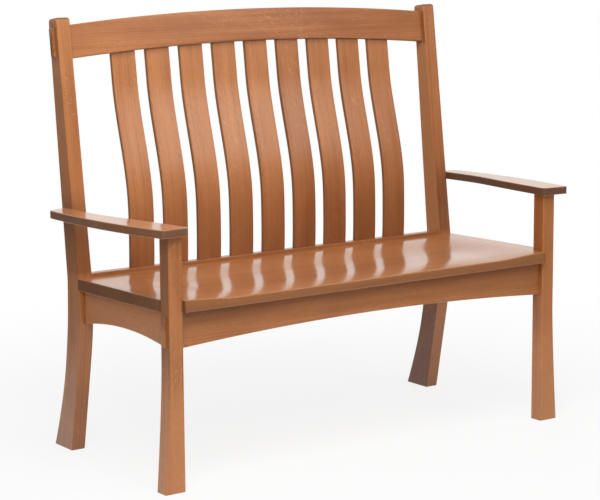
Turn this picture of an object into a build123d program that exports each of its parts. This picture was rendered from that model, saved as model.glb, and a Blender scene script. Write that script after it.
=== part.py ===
from build123d import *
import math
import os

os.makedirs("parts", exist_ok=True)

# A mission settle in solid oak: lengths in millimetres, +Z up, the sitter faces -Y.
# Heights are above the floor and depths are behind the front legs' front face.
# Each piece is made for the right-hand side (+X) and mirrored where it is a pair.

# Main sizes
width_over_legs = 1194
seat_height = 457
seat_depth = 440
back_lean_angle = 7.35
seat_fall_angle = 1.07
arm_height = 631
arm_fall_angle = 0.81

# Joinery
fit_gap = 0.2
seat_gap = 0.3
overrun = 6
tenon_proud = 6.5
tenon_chamfer = 1.5
edge_ease = 1.4

# Front legs: square above, the outer face sweeping out to a wider foot
leg_size = 38
leg_flare = 17.6
leg_flare_height = 330
leg_flare_bend_height = 230
leg_tenon_size = 24
leg_tenon_height = 12

# Rear posts: one sawn blade, leaning above the seat and swept back to the floor
post_thickness = 38
post_front_depth = 427.3
post_depth_at_seat = 59.4
post_depth_at_top = 39.5
post_top_along_lean = 642.3
post_front_foot_sweep = 58.2
post_rear_foot_sweep = 86.3
post_top_ease = 4
post_front_foot_slope_share = 0.21
post_rear_foot_slope_share = 0.4
# Pairs of height as a share of the seat height and sweep as a share of the foot's sweep
post_front_curve_shares = [(0.853, -0.057), (0.724, -0.022), (0.492, 0.253), (0.23, 0.648)]
post_rear_curve_shares = [(0.875, 0.0), (0.757, 0.027), (0.573, 0.14), (0.383, 0.328), (0.186, 0.637)]

# Crest rail: an arched board that lies along the lean, let through the posts
crest_height = 84
crest_thickness = 22
crest_setback = 12
crest_rise = 24.8
crest_end_bottom_along_lean = 540
crest_tenon_height = 71
crest_tenon_drop = 6
crest_tenon_thickness = 17
crest_tenon_shoulder = 2.5

# Back slats: nine alike, each bent forward at the small of the back and straight above that
slat_count = 9
slat_width = 69.5
slat_pitch = 101.1
slat_thickness = 12
slat_top_setback = 18
slat_straight_above_seat = 468
slat_bow_proud = 11
slat_foot_setback = 10.5
slat_foot_slope_share = 0.06
# Pairs of height as a share of the bent length and distance behind the posts as a share of the bow
slat_curve_shares = [(0.213, -0.364), (0.396, -1), (0.709, 0.364)]
slat_tenon_width = 56
slat_tenon_thickness = 7
slat_tenon_length = 16

# Back rail: carries the slats' feet and the rear edge of the seat, and stands a little above it
back_rail_front_depth = 431
back_rail_thickness = 24
back_rail_above_seat = 4.3
back_rail_height = 92
back_rail_tenon_thickness = 12
back_rail_tenon_length = 22
back_rail_tenon_shoulder = 7

# Front apron: arched below, let through the legs, and set out down from the seat's height
apron_setback = 12
apron_thickness = 20
apron_end_below_seat = 114
apron_rise = 21
apron_tenon_below_seat = 108
apron_tenon_height = 73
apron_tenon_thickness = 13
apron_tenon_shoulder = 2

# Side rails: arched below, stub-tenoned between leg and post, and set out down from the seat's height
side_rail_setback = 12
side_rail_thickness = 20
side_rail_front_below_seat = 113.5
side_rail_arch_depth = 212
side_rail_arch_below_seat = 98.2
side_rail_rear_below_seat = 122
side_rail_tenon_thickness = 10
side_rail_tenon_length = 9
side_rail_tenon_below_seat = 107
side_rail_tenon_height = 62

# Seat: edge-glued boards with a shallow scoop that runs out at the front edge
seat_board_count = 4
seat_thickness = 26
seat_front_overhang = 10
seat_side_overhang = 2
seat_front_ease = 2.5
scoop_depth = 10.5
scoop_flat_half_width = 400
scoop_end_half_width = 556
scoop_rear_depth = 405
scoop_heel_depth = 285
scoop_bend_share = 0.5

# Arms: flat boards, bowed outwards, resting on the leg and doweled to the post's side
# The outer edge is set out from the leg's outer face, and the rear from the post's front edge
arm_thickness = 20
arm_front_overhang = 21
arm_front_slant = 7
arm_outer_front_reach = 25.5
arm_outer_middle_reach = 57.5
arm_outer_rear_reach = 54
arm_front_width = 77.5
arm_middle_width = 82.5
arm_land_lead = 77.7
arm_tail_lap = 39.3
arm_tail_slant = 22
arm_outer_middle_share = 0.482
arm_inner_middle_share = 0.384
arm_inner_corner_radius = 11
arm_outer_corner_radius = 4
arm_tail_corner_radius = 3
arm_edge_ease = 1.8

# Hidden dowels between each arm and its post
dowel_radius = 4
dowel_length = 36
dowel_front_inset = 8
dowel_spacing = 13
dowels_per_arm = 2

# Hidden corner blocks and centre rail below the seat
block_leg_length = 75
block_height = 40
centre_rail_thickness = 22
centre_rail_height = 45
centre_rail_tenon_length = 8
centre_rail_tenon_thickness = 10
centre_rail_tenon_shoulder = 8

# Wood screws in the corner blocks and up into the seat
screw_radius = 2
screw_head_radius = 4
screw_head_height = 3
screw_well_radius = 5
screw_offset = 46
screw_seat_offset = 25
screw_under_head = 14
screw_bite = 13
seat_screw_bite = 9
centre_screw_spacing = 220

half_width = width_over_legs / 2
leg_inner = half_width - leg_size
post_inner = half_width - post_thickness
lean = math.radians(back_lean_angle)
seat_front_depth = -seat_front_overhang
back_rail_top_height = seat_height + back_rail_above_seat
slat_straight_height = seat_height + slat_straight_above_seat
apron_end_height = seat_height - apron_end_below_seat
apron_tenon_bottom_height = seat_height - apron_tenon_below_seat
side_rail_front_height = seat_height - side_rail_front_below_seat
side_rail_arch_height = seat_height - side_rail_arch_below_seat
side_rail_rear_height = seat_height - side_rail_rear_below_seat
side_rail_tenon_bottom_height = seat_height - side_rail_tenon_below_seat
model_middle_depth = (post_front_depth + post_depth_at_seat + post_rear_foot_sweep - arm_front_overhang) / 2

# Frames: the seat and the arms fall a little to the rear, and the back leans
seat_frame = Pos(0, seat_front_depth, seat_height) * Rot(X=-seat_fall_angle)
arm_frame = Pos(0, 0, arm_height) * Rot(X=-arm_fall_angle)
back_plane = Plane((0, post_front_depth, seat_height), (1, 0, 0), (0, -math.cos(lean), math.sin(lean)))


def block(low, high):
    """A box between two opposite corners."""
    size = [b - a for a, b in zip(low, high)]
    return Pos(*low) * Box(*size, align=(Align.MIN, Align.MIN, Align.MIN))


def side_cut(outline, low_x, high_x):
    """Extrudes an outline drawn in depth and height from low_x to high_x."""
    return extrude(Plane.YZ.offset(low_x) * outline, high_x - low_x)


def front_cut(outline, low_y, high_y):
    """Extrudes an outline drawn in width and height from low_y to high_y."""
    return extrude(Plane.XZ.offset(-low_y) * outline, low_y - high_y)


def back_block(low, high):
    """A box in the leaning frame: across, up the lean and back from the posts' front plane."""
    turned_low = (low[0], low[1], -high[2])
    turned_high = (high[0], high[1], -low[2])
    return back_plane.location * block(turned_low, turned_high)


def left_of(piece):
    """The left-hand twin of a right-hand piece."""
    return mirror(piece, about=Plane.YZ)


def post_front(height):
    """Depth of the posts' straight front edge at a height."""
    return post_front_depth + (height - seat_height) * math.tan(lean)


def above_seat_underside():
    """Everything above the underside of the seat boards."""
    reach = width_over_legs
    return seat_frame * block((-reach, -reach, -seat_thickness), (reach, reach, reach))


def above_arm_underside():
    """Everything above the underside of the arms."""
    reach = width_over_legs
    return arm_frame * block((-reach, -reach, -arm_thickness), (reach, reach, reach))


def rear_post_outline(forward=0):
    """Side outline of a rear post, moved forward by a clearance where asked."""
    knee_front = post_front_depth - forward
    knee_rear = post_front_depth + post_depth_at_seat
    front_foot = (knee_front + post_front_foot_sweep, 0)
    rear_foot = (knee_rear + post_rear_foot_sweep, 0)
    top_front = (
        knee_front + post_top_along_lean * math.sin(lean),
        seat_height + post_top_along_lean * math.cos(lean),
    )
    top_rear = (
        top_front[0] + forward + post_depth_at_top * math.cos(lean),
        top_front[1] - post_depth_at_top * math.sin(lean),
    )
    front_points = [
        (knee_front + sweep * post_front_foot_sweep, height * seat_height)
        for height, sweep in post_front_curve_shares
    ]
    rear_points = [
        (knee_rear + sweep * post_rear_foot_sweep, height * seat_height)
        for height, sweep in post_rear_curve_shares
    ]
    rear_line = (top_rear[0] - knee_rear, top_rear[1] - seat_height)
    front_line = (-math.sin(lean), -math.cos(lean))
    outline = [
        Line(front_foot, rear_foot),
        Spline(
            rear_foot,
            *reversed(rear_points),
            (knee_rear, seat_height),
            tangents=[(-post_rear_foot_slope_share, 1), rear_line],
        ),
        Line((knee_rear, seat_height), top_rear),
        Line(top_rear, top_front),
        Line(top_front, (knee_front, seat_height)),
        Spline(
            (knee_front, seat_height),
            *front_points,
            front_foot,
            tangents=[front_line, (post_front_foot_slope_share, -1)],
        ),
    ]
    return make_face(outline)


def rear_post_blank(low_x, high_x, forward=0):
    """The post's blade before its edges are eased and its mortises cut."""
    return side_cut(rear_post_outline(forward), low_x, high_x)


def sprung_arch(half_span, end_height, rise):
    """A parabola from side to side that rises in the middle."""
    return Bezier((-half_span, end_height), (0, end_height + 2 * rise), (half_span, end_height))


def crest_arch(along_lean_at_ends):
    """The crest's curve across the back, carried on past the posts' inner faces."""
    drop = arch_drop(half_width)
    return sprung_arch(half_width, along_lean_at_ends - drop, crest_rise + drop)


def arch_drop(across):
    """How far the crest's arch has fallen below its ends' level at a distance across."""
    return crest_rise * (across**2 / post_inner**2 - 1)


def crest_board():
    """The arched board between the posts, before its slat mortises."""
    bottom = crest_arch(crest_end_bottom_along_lean)
    top = crest_arch(crest_end_bottom_along_lean + crest_height)
    outline = make_face([bottom, top, Line(bottom @ 0, top @ 0), Line(bottom @ 1, top @ 1)])
    board = extrude(back_plane.offset(-crest_setback) * outline, -crest_thickness)
    reach = crest_end_bottom_along_lean + crest_height + overrun + crest_rise
    between = back_block((-post_inner, 0, 0), (post_inner, reach, crest_setback + crest_thickness + overrun))
    board = board & between
    return chamfer(board.edges().filter_by(GeomType.LINE, reverse=True), edge_ease)


def crest_tenon(end_x, gap=0):
    """The crest's tenon through the right post, to end_x."""
    low_v = crest_end_bottom_along_lean + crest_height - crest_tenon_drop - crest_tenon_height
    low_d = crest_setback + crest_tenon_shoulder
    low = (post_inner - (overrun if gap else 0), low_v - gap, low_d - gap)
    high = (end_x, low_v + crest_tenon_height + gap, low_d + crest_tenon_thickness + gap)
    return back_block(low, high)


def chamfered_end(tenon):
    """Chamfers the four edges of a tenon's outer end."""
    return chamfer(tenon.faces().sort_by(Axis.X)[-1].edges(), tenon_chamfer)


def slat_line():
    """The slat's front edge from foot to top: heights and depths in the side view."""
    bottom = back_rail_top_height - slat_tenon_length
    top = seat_height + (crest_end_bottom_along_lean + crest_rise + slat_tenon_length) * math.cos(lean)
    straight = (post_front(slat_straight_height) + slat_top_setback, slat_straight_height)
    foot = (post_front(back_rail_top_height) + slat_foot_setback, back_rail_top_height)
    points = []
    for height_share, bow_share in slat_curve_shares:
        height = foot[1] + height_share * (straight[1] - foot[1])
        points.append((post_front(height) + bow_share * slat_bow_proud, height))
    ends = [(-slat_foot_slope_share, 1), (math.sin(lean), math.cos(lean))]
    curve = Spline(foot, *points, straight, tangents=ends)
    heel = (foot[0] + slat_foot_slope_share * (foot[1] - bottom), bottom)
    end = (post_front(top) + slat_top_setback, top)
    return Line(heel, foot), curve, Line(straight, end)


def slat_strip(low_x, high_x, front_inset=0, depth=slat_thickness):
    """A strip of the slat's side outline, from low_x to high_x."""
    pieces = [edge.moved(Location((front_inset, 0))) for edge in slat_line()]
    backs = [edge.moved(Location((depth, 0))) for edge in pieces]
    foot = Line(pieces[0] @ 0, backs[0] @ 0)
    tip = Line(pieces[-1] @ 1, backs[-1] @ 1)
    return side_cut(make_face([*pieces, *backs, foot, tip]), low_x, high_x)


def slat_tenons(middle_x, gap=0):
    """Both tenons of one slat as a thinner strip that runs its whole length."""
    inset = (slat_thickness - slat_tenon_thickness) / 2
    half = slat_tenon_width / 2
    return slat_strip(
        middle_x - half - gap, middle_x + half + gap, inset - gap, slat_tenon_thickness + 2 * gap
    )


def slat_tip_zone(middle_x, extra=0):
    """Everything up the back past the tip of a slat's upper tenon."""
    tip = crest_end_bottom_along_lean - arch_drop(middle_x) + slat_tenon_length + extra
    return back_block(
        (middle_x - slat_width, tip, -slat_width), (middle_x + slat_width, tip + slat_width, slat_width)
    )


def slat_positions():
    """The slats' middles across the back."""
    return [(number - (slat_count - 1) / 2) * slat_pitch for number in range(slat_count)]


def back_slat(middle_x, board):
    """One bent slat with a tenon at each end, its upper shoulders scribed to the crest's board."""
    half = slat_width / 2
    strip = slat_strip(middle_x - half, middle_x + half)
    strip = chamfer(strip.faces().filter_by(Axis.X).edges(), edge_ease)
    reach = seat_height + slat_width
    rail = block(
        (middle_x - slat_width, 0, 0), (middle_x + slat_width, reach + seat_depth, back_rail_top_height)
    )
    shoulders = strip - rail - board
    above_crest = back_block(
        (middle_x - slat_width, crest_end_bottom_along_lean - arch_drop(middle_x) + slat_width, -slat_width),
        (middle_x + slat_width, post_top_along_lean + slat_width, slat_width),
    )
    return shoulders - above_crest + (slat_tenons(middle_x) - slat_tip_zone(middle_x))


def crest_rail(board):
    """The crest with its through tenons and the slats' mortises."""
    tenon = chamfered_end(crest_tenon(half_width + tenon_proud))
    rail = board + tenon + left_of(tenon)
    for middle_x in slat_positions():
        rail -= slat_tenons(middle_x, fit_gap) - slat_tip_zone(middle_x, fit_gap)
    return rail


def back_rail_tenon(gap=0):
    """The back rail's blind tenon into the right post."""
    low_y = back_rail_front_depth + (back_rail_thickness - back_rail_tenon_thickness) / 2
    low_z = back_rail_top_height - back_rail_height + back_rail_tenon_shoulder
    high_z = back_rail_top_height - 2 * back_rail_tenon_shoulder
    low = (post_inner - (overrun if gap else 0), low_y - gap, low_z - gap)
    high = (post_inner + back_rail_tenon_length + gap, low_y + back_rail_tenon_thickness + gap, high_z + gap)
    return block(low, high)


def back_rail():
    """The rail at the rear of the seat, mortised on top for the slats' feet."""
    low = (-post_inner, back_rail_front_depth, back_rail_top_height - back_rail_height)
    high = (post_inner, back_rail_front_depth + back_rail_thickness, back_rail_top_height)
    rail = block(low, high)
    rail = fillet(rail.edges().filter_by(Axis.X), edge_ease)
    rail = rail + back_rail_tenon() + left_of(back_rail_tenon())
    for middle_x in slat_positions():
        rail -= slat_tenons(middle_x, fit_gap)
    for hole in pilot_holes("rear_left", "rear_right"):
        rail -= hole
    return rail - centre_rail_tenons(fit_gap)


def side_rail_tenons(gap=0):
    """The right side rail's stub tenons into the leg and into the post."""
    low_x = half_width - side_rail_setback - (side_rail_thickness + side_rail_tenon_thickness) / 2
    high_x = low_x + side_rail_tenon_thickness
    low_z = side_rail_tenon_bottom_height
    rear = post_front(low_z) + side_rail_tenon_length
    low = (low_x - gap, leg_size - side_rail_tenon_length - gap, low_z - gap)
    high = (high_x + gap, rear + gap, low_z + side_rail_tenon_height + gap)
    return block(low, high)


def side_rail():
    """The right side rail, arched below and cut to the seat's underside above."""
    high_x = half_width - side_rail_setback
    low_x = high_x - side_rail_thickness
    rear = post_front_depth + overrun
    arch = Spline(
        (leg_size, side_rail_front_height),
        (side_rail_arch_depth, side_rail_arch_height),
        (rear, side_rail_rear_height),
    )
    outline = make_face(
        [
            arch,
            Line((rear, side_rail_rear_height), (rear, seat_height)),
            Line((rear, seat_height), (leg_size, seat_height)),
            Line((leg_size, seat_height), (leg_size, side_rail_front_height)),
        ]
    )
    rail = side_cut(outline, low_x, high_x) - above_seat_underside()
    rail = chamfer(rail.edges().filter_by(GeomType.LINE, reverse=True), edge_ease)
    rail = rail - rear_post_blank(low_x - overrun, high_x + overrun) + side_rail_tenons()
    for hole in pilot_holes("front_right", "rear_right"):
        rail -= hole
    return rail


def apron_tenon(end_x, gap=0):
    """The apron's tenon through the right leg, to end_x."""
    low_y = apron_setback + apron_tenon_shoulder
    low = (leg_inner - (overrun if gap else 0), low_y - gap, apron_tenon_bottom_height - gap)
    high_z = apron_tenon_bottom_height + apron_tenon_height + gap
    return block(low, (end_x, low_y + apron_tenon_thickness + gap, high_z))


def front_apron():
    """The front apron with its arch and its through tenons."""
    outline = make_face(
        [
            sprung_arch(leg_inner, apron_end_height, apron_rise),
            Line((leg_inner, apron_end_height), (leg_inner, seat_height)),
            Line((leg_inner, seat_height), (-leg_inner, seat_height)),
            Line((-leg_inner, seat_height), (-leg_inner, apron_end_height)),
        ]
    )
    apron = front_cut(outline, apron_setback, apron_setback + apron_thickness) - above_seat_underside()
    apron = chamfer(apron.edges().filter_by(GeomType.LINE, reverse=True), edge_ease)
    tenon = chamfered_end(apron_tenon(half_width + tenon_proud))
    apron = apron + tenon + left_of(tenon) - centre_rail_tenons(fit_gap)
    for hole in pilot_holes("front_left", "front_right"):
        apron -= hole
    return apron


def front_leg_outline():
    """Front view of the right front leg: only the outer face flares."""
    foot = half_width + leg_flare
    flare = Bezier((half_width, leg_flare_height), (half_width, leg_flare_bend_height), (foot, 0))
    return make_face(
        [
            Line((leg_inner, 0), (foot, 0)),
            flare,
            Line((half_width, leg_flare_height), (half_width, arm_height)),
            Line((half_width, arm_height), (leg_inner, arm_height)),
            Line((leg_inner, arm_height), (leg_inner, 0)),
        ]
    )


def leg_top_tenon(gap=0):
    """The square tenon on top of the leg, blind in the arm."""
    inset = (leg_size - leg_tenon_size) / 2
    bottom = arm_height - arm_thickness - overrun
    top = arm_height - arm_thickness + leg_tenon_height
    low = (leg_inner + inset - gap, inset - gap, bottom)
    high = (half_width - inset + gap, leg_size - inset + gap, top + gap)
    return block(low, high)


def front_leg():
    """The right front leg, mortised for the apron and the side rail."""
    leg = front_cut(front_leg_outline(), 0, leg_size)
    leg = fillet([edge for edge in leg.edges() if edge.center().Z < arm_height - overrun], edge_ease)
    leg = leg - above_arm_underside()
    leg = leg - apron_tenon(half_width + overrun, fit_gap) - side_rail_tenons(fit_gap)
    return leg + leg_top_tenon()


def rear_post():
    """The right rear post, mortised for the crest, the back rail and the side rail."""
    post = rear_post_blank(post_inner, half_width)
    top_height = post.bounding_box().max.Z
    post = fillet([edge for edge in post.edges() if edge.center().Z < top_height - post_top_ease * 2], edge_ease)
    post = fillet(post.faces().sort_by(Axis.Z)[-1].edges(), post_top_ease)
    post = post - crest_tenon(half_width + overrun, fit_gap)
    post = post - back_rail_tenon(fit_gap) - side_rail_tenons(fit_gap)
    for dowel in arm_dowels_right(fit_gap):
        post = post - dowel
    return post


def scoop_cutter():
    """What the scoop takes out: a flat-bottomed trough that rises to nothing at its ends and heel."""
    bend = (scoop_end_half_width - scoop_flat_half_width) * scoop_bend_share
    right_end = Bezier(
        (scoop_flat_half_width, -scoop_depth),
        (scoop_flat_half_width + bend, -scoop_depth),
        (scoop_end_half_width - bend, 0),
        (scoop_end_half_width, 0),
    )
    left_end = Bezier(
        (-scoop_flat_half_width, -scoop_depth),
        (-scoop_flat_half_width - bend, -scoop_depth),
        (-scoop_end_half_width + bend, 0),
        (-scoop_end_half_width, 0),
    )
    floor = Line((-scoop_flat_half_width, -scoop_depth), (scoop_flat_half_width, -scoop_depth))
    lid_left = Line((-scoop_end_half_width, 0), (-scoop_end_half_width, overrun))
    lid = Line((-scoop_end_half_width, overrun), (scoop_end_half_width, overrun))
    lid_right = Line((scoop_end_half_width, 0), (scoop_end_half_width, overrun))
    across = front_cut(
        make_face([left_end, floor, right_end, lid_left, lid, lid_right]), -overrun, seat_depth
    )
    rise = (scoop_rear_depth - scoop_heel_depth) * scoop_bend_share
    heel = Bezier(
        (scoop_heel_depth, -scoop_depth),
        (scoop_heel_depth + rise, -scoop_depth),
        (scoop_rear_depth - rise, 0),
        (scoop_rear_depth, 0),
    )
    along = make_face(
        [
            Line((-overrun, -scoop_depth), (scoop_heel_depth, -scoop_depth)),
            heel,
            Line((scoop_rear_depth, 0), (scoop_rear_depth, overrun)),
            Line((scoop_rear_depth, overrun), (-overrun, overrun)),
            Line((-overrun, overrun), (-overrun, -scoop_depth)),
        ]
    )
    return across & side_cut(along, -scoop_end_half_width, scoop_end_half_width)


def seat_boards():
    """The scooped seat as separate boards, notched round the legs and posts."""
    half = half_width + seat_side_overhang
    panel = block((-half, 0, -seat_thickness), (half, seat_depth, 0))
    panel = panel - scoop_cutter()
    front_top = [
        edge for edge in panel.edges() if edge.center().Y < fit_gap and edge.center().Z > -seat_thickness / 2
    ]
    front_top = [edge for edge in front_top if abs(edge.tangent_at(0.5).X) > 0.5]
    panel = seat_frame * fillet(front_top, seat_front_ease)
    corner = block(
        (leg_inner - seat_gap, seat_front_depth - overrun, 0),
        (half + overrun, leg_size + seat_gap, arm_height),
    )
    post = rear_post_blank(post_inner - seat_gap, half + overrun, seat_gap)
    behind = block(
        (-half, back_rail_front_depth - seat_gap, 0), (half, post_front_depth + seat_depth, arm_height)
    )
    for cut in (corner, left_of(corner), post, left_of(post), behind):
        panel = panel - cut
    for hole in seat_screws(fit_gap):
        panel = panel - hole
    boards = []
    step = seat_depth / seat_board_count
    for number in range(seat_board_count):
        low = (-half - overrun, number * step, -seat_thickness - overrun)
        high = (half + overrun, (number + 1) * step, overrun)
        boards.append(panel & (seat_frame * block(low, high)))
    return boards


def arm_outline():
    """Plan of the right arm: bowed outer edge, inner edge running to the post's outer face."""
    front = -arm_front_overhang
    rear = post_front(arm_height) + arm_tail_lap
    front_outer = (half_width + arm_outer_front_reach, front)
    front_inner = (front_outer[0] - arm_front_width, front + arm_front_slant)
    middle_outer = (half_width + arm_outer_middle_reach, front + arm_outer_middle_share * (rear - front))
    middle_inner = (middle_outer[0] - arm_middle_width, front + arm_inner_middle_share * (rear - front))
    land_front = (half_width, post_front(arm_height) - arm_land_lead)
    land_rear = (half_width, rear)
    outer = Spline(front_outer, middle_outer, (half_width + arm_outer_rear_reach, rear - arm_tail_slant))
    inner_start = (middle_inner[0] - front_inner[0], middle_inner[1])
    inner = Spline(front_inner, middle_inner, land_front, tangents=[inner_start, (0, 1)])
    tail = Line(land_rear, outer @ 1)
    return make_face([outer, Line(front_outer, front_inner), inner, Line(land_front, land_rear), tail])


def arm():
    """The right arm, mortised below for the leg and bored for the dowels."""
    outline = arm_outline()
    outline = fillet(outline.vertices().sort_by(Axis.Y)[0], arm_outer_corner_radius)
    outline = fillet(outline.vertices().sort_by(Axis.X)[0], arm_inner_corner_radius)
    outline = fillet(outline.vertices().sort_by(Axis.X)[-1], arm_tail_corner_radius)
    board = extrude(outline, -arm_thickness)
    rim = board.faces().filter_by(Axis.Z).edges()
    board = arm_frame * chamfer(rim, arm_edge_ease)
    board = board - leg_top_tenon(fit_gap)
    for dowel in arm_dowels_right(fit_gap):
        board = board - dowel
    return board


def arm_dowels_right(gap=0):
    """Dowels that pin the right arm to its post, lying across the joint."""
    height = -arm_thickness / 2
    start = half_width - dowel_length / 2 - gap
    first = post_front(arm_height) + dowel_front_inset
    dowels = []
    for number in range(dowels_per_arm):
        place = arm_frame * Pos(start, first + number * dowel_spacing, height)
        rod = Cylinder(dowel_radius + gap, dowel_length + 2 * gap, align=(Align.CENTER, Align.CENTER, Align.MIN))
        dowels.append(place * Rot(Y=90) * rod)
    return dowels


def corner_places():
    """Corner, direction along X and direction along Y of the four corner blocks."""
    x = half_width - side_rail_setback - side_rail_thickness
    front = apron_setback + apron_thickness
    rear = back_rail_front_depth
    return {
        "front_left": (-x, front, 1, 1),
        "front_right": (x, front, -1, 1),
        "rear_left": (-x, rear, 1, -1),
        "rear_right": (x, rear, -1, -1),
    }


def seat_underside(depth):
    """Height of the seat's underside at a depth."""
    fall = math.radians(seat_fall_angle)
    return seat_height - seat_thickness / math.cos(fall) - (depth - seat_front_depth) * math.tan(fall)


def screw(place, length, gap=0):
    """A wood screw with its head's top at the place, driven along the place's +Z."""
    bottom = (Align.CENTER, Align.CENTER, Align.MIN)
    shank = Cylinder(screw_radius + gap, length + gap, align=bottom)
    head = Cone(screw_head_radius + gap, screw_radius + gap, screw_head_height, align=bottom)
    return place * (shank + head)


def screw_well(place, depth):
    """The well that lets a screw's head sink into a block, running back from the head."""
    top = (Align.CENTER, Align.CENTER, Align.MAX)
    return place * Cylinder(screw_well_radius, depth, align=top)


def block_screws(name, gap=0):
    """Two screws through one corner block into its two rails, with their wells."""
    x, y, way_x, way_y = corner_places()[name]
    z = seat_underside(y) - block_height / 2
    into_side = Pos(x + way_x * screw_under_head, y + way_y * screw_offset, z) * Rot(Y=-90 * way_x)
    into_end = Pos(x + way_x * screw_offset, y + way_y * screw_under_head, z) * Rot(X=90 * way_y)
    places = [into_side, into_end]
    length = screw_under_head + screw_bite
    return [screw(place, length, gap) for place in places], [
        screw_well(place, block_leg_length) for place in places
    ]


def pilot_holes(*names):
    """What the rails lose to the screws of the named corner blocks."""
    return [hole for name in names for hole in block_screws(name, fit_gap)[0]]


def seat_screw_places():
    """Where screws go up into the seat: one in each corner block, two in the centre rail."""
    places = []
    for x, y, way_x, way_y in corner_places().values():
        depth = y + way_y * screw_seat_offset
        places.append((x + way_x * screw_seat_offset, depth, seat_underside(depth) - screw_under_head))
    middle = (apron_setback + apron_thickness + back_rail_front_depth) / 2
    for way in (-1, 1):
        depth = middle + way * centre_screw_spacing / 2
        places.append((0, depth, seat_underside(depth) - screw_under_head))
    return places


def seat_screws(gap=0):
    """The screws that hold the seat down from below."""
    length = screw_under_head + seat_screw_bite
    return [screw(Pos(*place), length, gap) for place in seat_screw_places()]


def seat_screw_wells():
    """Wells below the seat screws' heads."""
    return [screw_well(Pos(*place), block_height) for place in seat_screw_places()]


def corner_block(name):
    """A three-cornered block glued and screwed into a corner below the seat."""
    x, y, way_x, way_y = corner_places()[name]
    outline = Polyline((x, y), (x + way_x * block_leg_length, y), (x, y + way_y * block_leg_length), close=True)
    bottom = seat_underside(y) - block_height
    prism = extrude(Pos(0, 0, bottom) * make_face(outline), 2 * block_height)
    prism = prism - above_seat_underside()
    leg_post = block(
        (leg_inner - seat_gap, -overrun, 0), (half_width, leg_size + seat_gap, seat_height)
    )
    rear_post_room = rear_post_blank(post_inner - seat_gap, half_width, seat_gap)
    for cut in (leg_post, left_of(leg_post), rear_post_room, left_of(rear_post_room)):
        prism = prism - cut
    screws, wells = block_screws(name, fit_gap)
    for cut in screws + wells + seat_screws(fit_gap) + seat_screw_wells():
        prism = prism - cut
    return prism


def centre_rail_tenons(gap=0):
    """The centre rail's stub tenons into the apron and the back rail."""
    half = centre_rail_tenon_thickness / 2 + gap
    front = apron_setback + apron_thickness - centre_rail_tenon_length - gap
    rear = back_rail_front_depth + centre_rail_tenon_length + gap
    top = seat_underside(rear) - centre_rail_tenon_shoulder
    bottom = seat_underside(rear) - centre_rail_height + centre_rail_tenon_shoulder
    return block((-half, front, bottom - gap), (half, rear, top + gap))


def centre_rail():
    """The rail below the middle of the seat, from apron to back rail."""
    half = centre_rail_thickness / 2
    front = apron_setback + apron_thickness
    bottom = seat_underside(back_rail_front_depth) - centre_rail_height
    rail = block((-half, front, bottom), (half, back_rail_front_depth, seat_height))
    rail = rail - above_seat_underside() + centre_rail_tenons()
    for cut in seat_screws(fit_gap) + seat_screw_wells():
        rail = rail - cut
    return rail


def save(name, *solids):
    """Writes one sub-part, with the origin on the floor below the middle of the settle."""
    shape = solids[0] if len(solids) == 1 else Compound(children=list(solids))
    export_step(Pos(0, -model_middle_depth, 0) * shape, f"parts/{name}.step")


def main():
    """Builds and writes every sub-part."""
    pairs = {"front_leg": front_leg(), "rear_post": rear_post(), "side_rail": side_rail(), "arm": arm()}
    for name, piece in pairs.items():
        save(f"{name}_right", piece)
        save(f"{name}_left", left_of(piece))
    board = crest_board()
    save("crest_rail", crest_rail(board))
    save("back_rail", back_rail())
    save("front_apron", front_apron())
    save("centre_rail", centre_rail())
    for number, middle_x in enumerate(slat_positions(), start=1):
        save(f"back_slat_{number}", back_slat(middle_x, board))
    for number, seat_board in enumerate(seat_boards(), start=1):
        save(f"seat_board_{number}", seat_board)
    all_block_screws = []
    for name in corner_places():
        save(f"corner_block_{name}", corner_block(name))
        all_block_screws += block_screws(name)[0]
    save("corner_block_screws", *all_block_screws)
    save("seat_screws", *seat_screws())
    dowels = arm_dowels_right()
    save("arm_dowels", *dowels, *[left_of(dowel) for dowel in dowels])


main()
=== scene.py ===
import math

import bmesh
import bpy
import numpy as np
from mathutils import Matrix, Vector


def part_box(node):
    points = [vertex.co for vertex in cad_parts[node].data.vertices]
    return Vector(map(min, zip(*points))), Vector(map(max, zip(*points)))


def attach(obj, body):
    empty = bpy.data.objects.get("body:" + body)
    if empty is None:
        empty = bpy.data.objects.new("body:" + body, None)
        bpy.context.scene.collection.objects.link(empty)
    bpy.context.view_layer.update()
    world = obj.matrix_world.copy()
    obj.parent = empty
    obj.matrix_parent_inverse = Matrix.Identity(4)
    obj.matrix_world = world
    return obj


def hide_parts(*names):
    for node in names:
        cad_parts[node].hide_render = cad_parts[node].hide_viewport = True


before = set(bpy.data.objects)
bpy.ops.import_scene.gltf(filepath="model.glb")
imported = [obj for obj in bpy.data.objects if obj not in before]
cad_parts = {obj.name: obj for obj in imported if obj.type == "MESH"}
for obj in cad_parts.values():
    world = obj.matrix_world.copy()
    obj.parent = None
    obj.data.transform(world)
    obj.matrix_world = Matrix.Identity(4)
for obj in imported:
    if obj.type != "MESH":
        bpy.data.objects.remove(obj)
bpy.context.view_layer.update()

# Front legs
# Each is one length of quarter-sawn oak, 38 mm square, whose outer side is sawn out to a wider foot.
# A square tenon on top goes up into the arm, and the apron is let right through below the seat.

# A rounded edge is drawn in equal steps of a quarter turn. Its radius is the ease, less a share of
# what its outline has drawn in, and the flats beside it stay flat from a hold of 1.2 eases on.
quarter_turn = np.linspace(0, math.pi / 2, 5)
corner_shrink = 0.7
least_corner = 0.2
flat_hold = 1.2


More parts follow.
